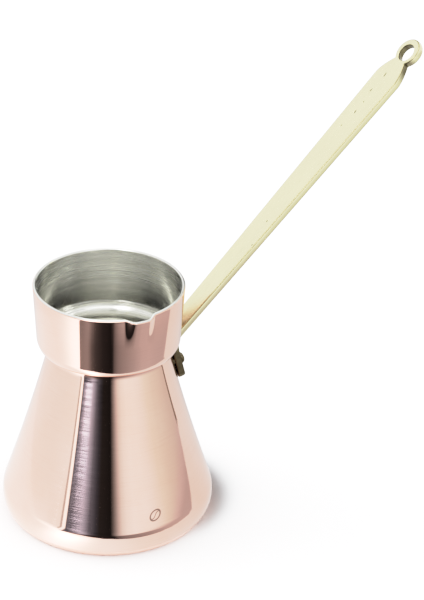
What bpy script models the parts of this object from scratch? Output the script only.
"""Turkish coffee pot (cezve): a spun copper body with a tin lining and a riveted cast brass handle.

Units are metres and +Z is up. The origin is the centre of the base, on the surface the pot stands on.
The handle points along +X and the pouring lip along -Y.
"""

from math import atan2, cos, pi, radians, sin, sqrt, tan

import bmesh
import bpy
from mathutils import Matrix, Vector

# Pot, outside. Radii are measured from the Z axis and levels from the floor.
HEIGHT = 0.113
BASE_RADIUS = 0.0475
RIM_RADIUS = 0.0334
COLLAR_RADIUS = 0.0318
COLLAR_LEVEL = 0.0877
SHOULDER_ARC = 0.0067
WAIST_RADIUS = 0.0269
WAIST_LEVEL = 0.0811
WAIST_ARC = 0.0075
CORNER_WIDTH = 0.0040
CORNER_HEIGHT = 0.0082
CONE_HOLLOW = 0.0007
AROUND = 48

# Sheet thicknesses, and the gap left between pieces that touch.
COPPER = 0.0010
TIN = 0.0004
GAP = 0.0003

# Pouring lip, pressed outward at the rim.
LIP_ANGLE = radians(-90)
LIP_REACH = 0.0033
LIP_HALF_ANGLE = radians(5)
LIP_FLANK_ANGLE = radians(6.5)
LIP_DEPTH = 0.0105
LIP_FADE = 1.5

# Handle, cast flat and bent at the root. Distances along it start at the foot's lower end, and
# BLADE_TOP_AT_RIM is the radius and level of one point on the blade's upper face.
HANDLE_THICKNESS = 0.0032
FOOT_TILT = radians(14.5)
FOOT_RADIUS = 0.0352
FOOT_LEVEL = 0.0612
FOOT_HALF_WIDTH = 0.0075
FOOT_LENGTH = 0.0145
FOOT_CORNER = 0.0030
ROOT_BLEND = 0.0090
BEND_RADIUS = 0.0075
BLADE_SLOPE = radians(45.9)
BLADE_TOP_AT_RIM = (0.0330, 0.0854)
ROOT_HALF_WIDTH = 0.0052
TIP_HALF_WIDTH = 0.0084
SHOULDER_LENGTH = 0.0100
SHOULDER_CURVE = 1.6
NECK_HALF_WIDTH = 0.0042
EYE_REACH = 0.158
EYE_RADIUS = 0.0066
HOLE_RADIUS = 0.0040
HOLE_OFFSET = 0.0006

# Rivets, square to the foot's outer face.
RIVET_SPREAD = 0.0045
RIVET_LEVEL = 0.0093
SHANK_RADIUS = 0.0019
HEAD_RADIUS = 0.0027
HEAD_HEIGHT = 0.0019
INNER_HEAD_RADIUS = 0.0029
INNER_HEAD_HEIGHT = 0.0012
INNER_HEAD_CLEARANCE = 0.0005
HOLE_DEPTH = 0.012


def clear_scene():
    for item in list(bpy.data.objects):
        bpy.data.objects.remove(item, do_unlink=True)


def new_collection(name):
    collection = bpy.data.collections.new(name)
    bpy.context.scene.collection.children.link(collection)
    return collection


def new_material(name, colour, metallic, roughness):
    material = bpy.data.materials.new(name)
    material.use_nodes = True
    shader = material.node_tree.nodes["Principled BSDF"]
    shader.inputs["Base Color"].default_value = (*colour, 1.0)
    shader.inputs["Metallic"].default_value = metallic
    shader.inputs["Roughness"].default_value = roughness
    material.diffuse_color = (*colour, 1.0)
    return material


def add_object(name, mesh, collection, material=None):
    item = bpy.data.objects.new(name, mesh)
    collection.objects.link(item)
    if material:
        mesh.materials.clear()
        mesh.materials.append(material)
    return item


def baked_mesh(item):
    """The mesh of an object as its modifiers leave it; the object itself is removed."""
    graph = bpy.context.evaluated_depsgraph_get()
    mesh = bpy.data.meshes.new_from_object(item.evaluated_get(graph))
    mesh.transform(item.matrix_world)
    bpy.data.objects.remove(item, do_unlink=True)
    return mesh


def cutter(name, mesh):
    item = add_object(name, mesh, CUTTERS)
    item.hide_render = True
    item.display_type = "WIRE"
    return item


def cut_away(item, other):
    modifier = item.modifiers.new(f"cut {other.name}", "BOOLEAN")
    modifier.operation = "DIFFERENCE"
    modifier.solver = "EXACT"
    modifier.object = other


def shade_round(item):
    item.data.shade_smooth()
    item.data.set_sharp_from_angle(angle=radians(30))


def arc(centre, radii, start, end, steps):
    """Points on an ellipse's arc, both ends included."""
    points = []
    for step in range(steps + 1):
        angle = start + (end - start) * step / steps
        points.append((centre[0] + radii[0] * cos(angle), centre[1] + radii[1] * sin(angle)))
    return points


def pot_normals():
    """The angles at which the shoulder meets the waist, and the waist meets the cone."""
    shoulder = Vector((COLLAR_RADIUS - SHOULDER_ARC, COLLAR_LEVEL))
    waist = Vector((WAIST_RADIUS + WAIST_ARC, WAIST_LEVEL))
    across = waist - shoulder
    heading = atan2(across.y, across.x)
    ratio = min((SHOULDER_ARC + WAIST_ARC) / across.length, 1.0)
    shoulder_angle = heading - atan2(sqrt(1 - ratio * ratio), ratio)
    corner = Vector((BASE_RADIUS - CORNER_WIDTH, CORNER_HEIGHT))
    low, high = 0.0, radians(45)
    for _ in range(40):
        angle = (low + high) / 2
        normal = Vector((cos(angle), sin(angle)))
        support = sqrt((CORNER_WIDTH * cos(angle)) ** 2 + (CORNER_HEIGHT * sin(angle)) ** 2)
        if normal.dot(corner) + support > normal.dot(waist) - WAIST_ARC:
            low = angle
        else:
            high = angle
    return shoulder_angle, angle


def pot_profile(inset=0.0):
    """The pot's outline from the rim down to the centre of the base, moved inward by inset."""
    shoulder_angle, cone_angle = pot_normals()
    shoulder = (COLLAR_RADIUS - SHOULDER_ARC, COLLAR_LEVEL)
    waist = (WAIST_RADIUS + WAIST_ARC, WAIST_LEVEL)
    corner = (BASE_RADIUS - CORNER_WIDTH, CORNER_HEIGHT)
    slope = (RIM_RADIUS - COLLAR_RADIUS) / (HEIGHT - COLLAR_LEVEL)
    points = []
    for step in range(4):
        level = HEIGHT - LIP_DEPTH * step / 3
        points.append((COLLAR_RADIUS + slope * (level - COLLAR_LEVEL) - inset, level))
    bend = SHOULDER_ARC - inset
    points += arc(shoulder, (bend, bend), 0.0, shoulder_angle, 4)
    groove = WAIST_ARC + inset
    points += arc(waist, (groove, groove), shoulder_angle + pi, cone_angle + pi, 5)
    radii = (CORNER_WIDTH - inset, CORNER_HEIGHT - inset)
    first = atan2(radii[1] * sin(cone_angle), radii[0] * cos(cone_angle))
    turn = arc(corner, radii, first, -pi / 2, 5)
    top, bottom = Vector(points[-1]), Vector(turn[0])
    inward = -Vector((cos(cone_angle), sin(cone_angle)))
    for step in range(1, 4):
        along = step / 4
        point = top.lerp(bottom, along) + inward * CONE_HOLLOW * 4 * along * (1 - along)
        points.append(tuple(point))
    points += turn
    points.append((0.0, inset))
    return points


def turned_mesh(name, points, around=AROUND):
    """A mesh turned from a profile that runs down its outer side."""
    mesh = bpy.data.meshes.new(name)
    edges = [(index, index + 1) for index in range(len(points) - 1)]
    mesh.from_pydata([(radius, 0.0, level) for radius, level in points], edges, [])
    item = add_object(name, mesh, CUTTERS)
    screw = item.modifiers.new("turn", "SCREW")
    screw.steps = around
    screw.render_steps = around
    screw.use_merge_vertices = True
    screw.merge_threshold = 0.0001
    return baked_mesh(item)


def smooth_step(value):
    value = min(max(value, 0.0), 1.0)
    return value * value * (3 - 2 * value)


def press_lip(mesh):
    """Moves the rim outward over a narrow arc, fading out down the collar."""
    for vertex in mesh.vertices:
        radius = sqrt(vertex.co.x ** 2 + vertex.co.y ** 2)
        depth = HEIGHT - vertex.co.z
        if depth > LIP_DEPTH:
            continue
        off = abs(atan2(vertex.co.y, vertex.co.x) - LIP_ANGLE)
        around = 1 - smooth_step((off - LIP_HALF_ANGLE) / LIP_FLANK_ANGLE)
        push = LIP_REACH * around * (1 - depth / LIP_DEPTH) ** LIP_FADE
        vertex.co.x += push * vertex.co.x / radius
        vertex.co.y += push * vertex.co.y / radius


def triangulate(mesh):
    """Splits every face the same way inside and outside a thin wall, so that the two stay apart."""
    shape = bmesh.new()
    shape.from_mesh(mesh)
    bmesh.ops.triangulate(shape, faces=shape.faces, quad_method="SHORT_EDGE")
    shape.to_mesh(mesh)
    shape.free()


def closed_pot(name, inset):
    """A solid that fills the pot out to its outline moved inward by inset, closed at the rim."""
    mesh = turned_mesh(name, [(0.0, HEIGHT)] + pot_profile(inset))
    return cutter(name, mesh)


def pot_shell(name, inset, thickness, material):
    """A turned wall whose outside is the pot's outline moved inward by inset, with the lip pressed in it."""
    inside = pot_profile(inset + thickness)
    mesh = turned_mesh(name, inside[::-1] + pot_profile(inset))
    press_lip(mesh)
    triangulate(mesh)
    return add_object(name, mesh, PARTS, material)


class Bend:
    """The handle's centre line: up the foot, round the bend and along the blade."""

    def __init__(self):
        self.up = Vector((-sin(FOOT_TILT), cos(FOOT_TILT)))
        self.out = Vector((cos(BLADE_SLOPE), sin(BLADE_SLOPE)))
        half = HANDLE_THICKNESS / 2
        foot_out = Vector((cos(FOOT_TILT), sin(FOOT_TILT)))
        blade_up = Vector((-sin(BLADE_SLOPE), cos(BLADE_SLOPE)))
        self.start = Vector((FOOT_RADIUS, FOOT_LEVEL)) - foot_out * half
        blade = Vector(BLADE_TOP_AT_RIM) - blade_up * half
        # Both straight lines meet at the corner that the bend rounds off.
        turn = self.up.x * self.out.y - self.up.y * self.out.x
        between = blade - self.start
        reach = (between.x * self.out.y - between.y * self.out.x) / turn
        self.corner = self.start + self.up * reach
        self.angle = pi / 2 + FOOT_TILT - BLADE_SLOPE
        cut = BEND_RADIUS * tan(self.angle / 2)
        self.foot = reach - cut
        self.arc = BEND_RADIUS * self.angle
        self.centre = self.start + self.up * self.foot + foot_out * BEND_RADIUS
        self.blade_start = self.corner + self.out * cut
        self.eye = self.foot + self.arc + (blade + self.out * EYE_REACH - self.blade_start).dot(self.out)

    def place(self, along, off):
        """The point at a distance along the centre line and a height off it, on the pot's side."""
        if along <= self.foot:
            return self.start + self.up * along + Vector((-self.up.y, self.up.x)) * off
        if along >= self.foot + self.arc:
            past = along - self.foot - self.arc
            return self.blade_start + self.out * past + Vector((-self.out.y, self.out.x)) * off
        turned = (along - self.foot) / BEND_RADIUS
        ray = Vector((-cos(FOOT_TILT - turned), -sin(FOOT_TILT - turned)))
        return self.centre + ray * (BEND_RADIUS + off)


def handle_outline(eye):
    """One side of the flat handle's outline, from the middle of the foot's end to the eye's far point."""
    corner = (FOOT_CORNER, FOOT_HALF_WIDTH - FOOT_CORNER)
    points = [(0.0, 0.0)]
    points += arc(corner, (FOOT_CORNER, FOOT_CORNER), pi, pi / 2, 4)
    for step in range(7):
        along = step / 6
        width = FOOT_HALF_WIDTH + (ROOT_HALF_WIDTH - FOOT_HALF_WIDTH) * smooth_step(along)
        points.append((FOOT_LENGTH + ROOT_BLEND * along, width))
    neck_angle = pi - atan2(NECK_HALF_WIDTH, sqrt(EYE_RADIUS ** 2 - NECK_HALF_WIDTH ** 2))
    neck = eye + EYE_RADIUS * cos(neck_angle)
    shoulder = neck - SHOULDER_LENGTH
    points.append((shoulder, TIP_HALF_WIDTH))
    for step in range(1, 7):
        along = step / 6
        width = TIP_HALF_WIDTH + (NECK_HALF_WIDTH - TIP_HALF_WIDTH) * along ** SHOULDER_CURVE
        points.append((shoulder + SHOULDER_LENGTH * along, width))
    points += arc((eye, 0.0), (EYE_RADIUS, EYE_RADIUS), neck_angle, 0.0, 12)[1:]
    return points


def add_spline(curve, points):
    spline = curve.splines.new("POLY")
    spline.points.add(len(points) - 1)
    for point, (along, across) in zip(spline.points, points):
        point.co = (along, across, 0.0, 1.0)
    spline.use_cyclic_u = True


def flat_handle(eye):
    """The handle as a flat plate, as it leaves the mould."""
    side = handle_outline(eye)
    curve = bpy.data.curves.new("handle blank", "CURVE")
    curve.dimensions = "2D"
    curve.fill_mode = "BOTH"
    curve.extrude = HANDLE_THICKNESS / 2
    add_spline(curve, side + [(along, -across) for along, across in side[-2:0:-1]])
    hole = arc((eye - HOLE_OFFSET, 0.0), (HOLE_RADIUS, HOLE_RADIUS), 0.0, 2 * pi, 20)[:-1]
    add_spline(curve, hole)
    return baked_mesh(add_object("handle blank", curve, CUTTERS))


def bend_handle(mesh, bend):
    """Cuts the flat plate across where it bends, then moves each point onto the bent handle."""
    shape = bmesh.new()
    shape.from_mesh(mesh)
    bmesh.ops.remove_doubles(shape, verts=shape.verts, dist=1e-6)
    cuts = [bend.foot + bend.arc * step / 6 for step in range(7)]
    for along in cuts:
        geometry = shape.verts[:] + shape.edges[:] + shape.faces[:]
        bmesh.ops.bisect_plane(shape, geom=geometry, plane_co=(along, 0, 0), plane_no=(1, 0, 0))
    for vertex in shape.verts:
        radius, level = bend.place(vertex.co.x, vertex.co.z)
        vertex.co = Vector((radius, vertex.co.y, level))
    bmesh.ops.recalc_face_normals(shape, faces=shape.faces)
    shape.to_mesh(mesh)
    shape.free()


def handle():
    bend = Bend()
    mesh = flat_handle(bend.eye)
    bend_handle(mesh, bend)
    item = add_object("handle", mesh, PARTS, BRASS_METAL)
    cut_away(item, closed_pot("pot_space", -GAP))
    return item


def rivet_frame(side):
    """The matrix of a rivet: its Z axis points out of the foot, from a point on the foot's outer face."""
    bend = Bend()
    radius, level = bend.place(RIVET_LEVEL, -HANDLE_THICKNESS / 2)
    turn = Matrix.Rotation(pi / 2 - FOOT_TILT, 4, "Y")
    return Matrix.Translation((radius, side * RIVET_SPREAD, level)) @ turn


def cylinder(name, frame, radius, low, high):
    shape = bmesh.new()
    bmesh.ops.create_cone(
        shape, cap_ends=True, segments=20, radius1=radius, radius2=radius, depth=high - low
    )
    mesh = bpy.data.meshes.new(name)
    shape.to_mesh(mesh)
    shape.free()
    mesh.transform(frame @ Matrix.Translation((0, 0, (low + high) / 2)))
    return mesh


def rivet_mesh():
    """A domed head, a shank and a set inner head, turned in one piece about the Z axis."""
    wall = HANDLE_THICKNESS + COPPER + TIN + 3 * GAP
    inner = -wall - INNER_HEAD_CLEARANCE
    edge = HEAD_HEIGHT / 4
    points = arc((0.0, GAP + edge), (HEAD_RADIUS, HEAD_HEIGHT - edge), pi / 2, 0.0, 5)
    points += [(HEAD_RADIUS, GAP), (SHANK_RADIUS, GAP), (SHANK_RADIUS, inner)]
    points += [(INNER_HEAD_RADIUS, inner)]
    rounded = (INNER_HEAD_RADIUS, INNER_HEAD_HEIGHT - edge)
    points += arc((0.0, inner - edge), rounded, 0.0, -pi / 2, 4)
    return turned_mesh("rivet", points, 20)


def rivet(name, side, mesh):
    item = add_object(name, mesh, PARTS, RIVET_METAL)
    item.matrix_world = rivet_frame(side)
    return item


def drill(items):
    """Clears the rivets' holes through every piece that they hold together."""
    for side in (-1, 1):
        mesh = cylinder("rivet_hole", rivet_frame(side), SHANK_RADIUS + GAP, -HOLE_DEPTH, HEAD_HEIGHT)
        hole = cutter("rivet_hole", mesh)
        for item in items:
            cut_away(item, hole)


clear_scene()
PARTS = new_collection("turkish coffee pot")
CUTTERS = new_collection("cutters")
COPPER_METAL = new_material("polished copper", (0.86, 0.52, 0.38), 1.0, 0.12)
TIN_METAL = new_material("brushed tin", (0.66, 0.65, 0.61), 1.0, 0.32)
BRASS_METAL = new_material("cast brass", (0.85, 0.77, 0.50), 1.0, 0.30)
RIVET_METAL = new_material("dark rivet brass", (0.28, 0.23, 0.13), 1.0, 0.45)

body = pot_shell("copper_body", 0.0, COPPER, COPPER_METAL)
lining = pot_shell("tin_lining", COPPER + GAP, TIN, TIN_METAL)
grip = handle()
rivet_shape = rivet_mesh()
rivets = [rivet("rivet_front", -1, rivet_shape), rivet("rivet_back", 1, rivet_shape)]
drill([body, lining, grip])
for item in [body, lining, grip] + rivets:
    shade_round(item)
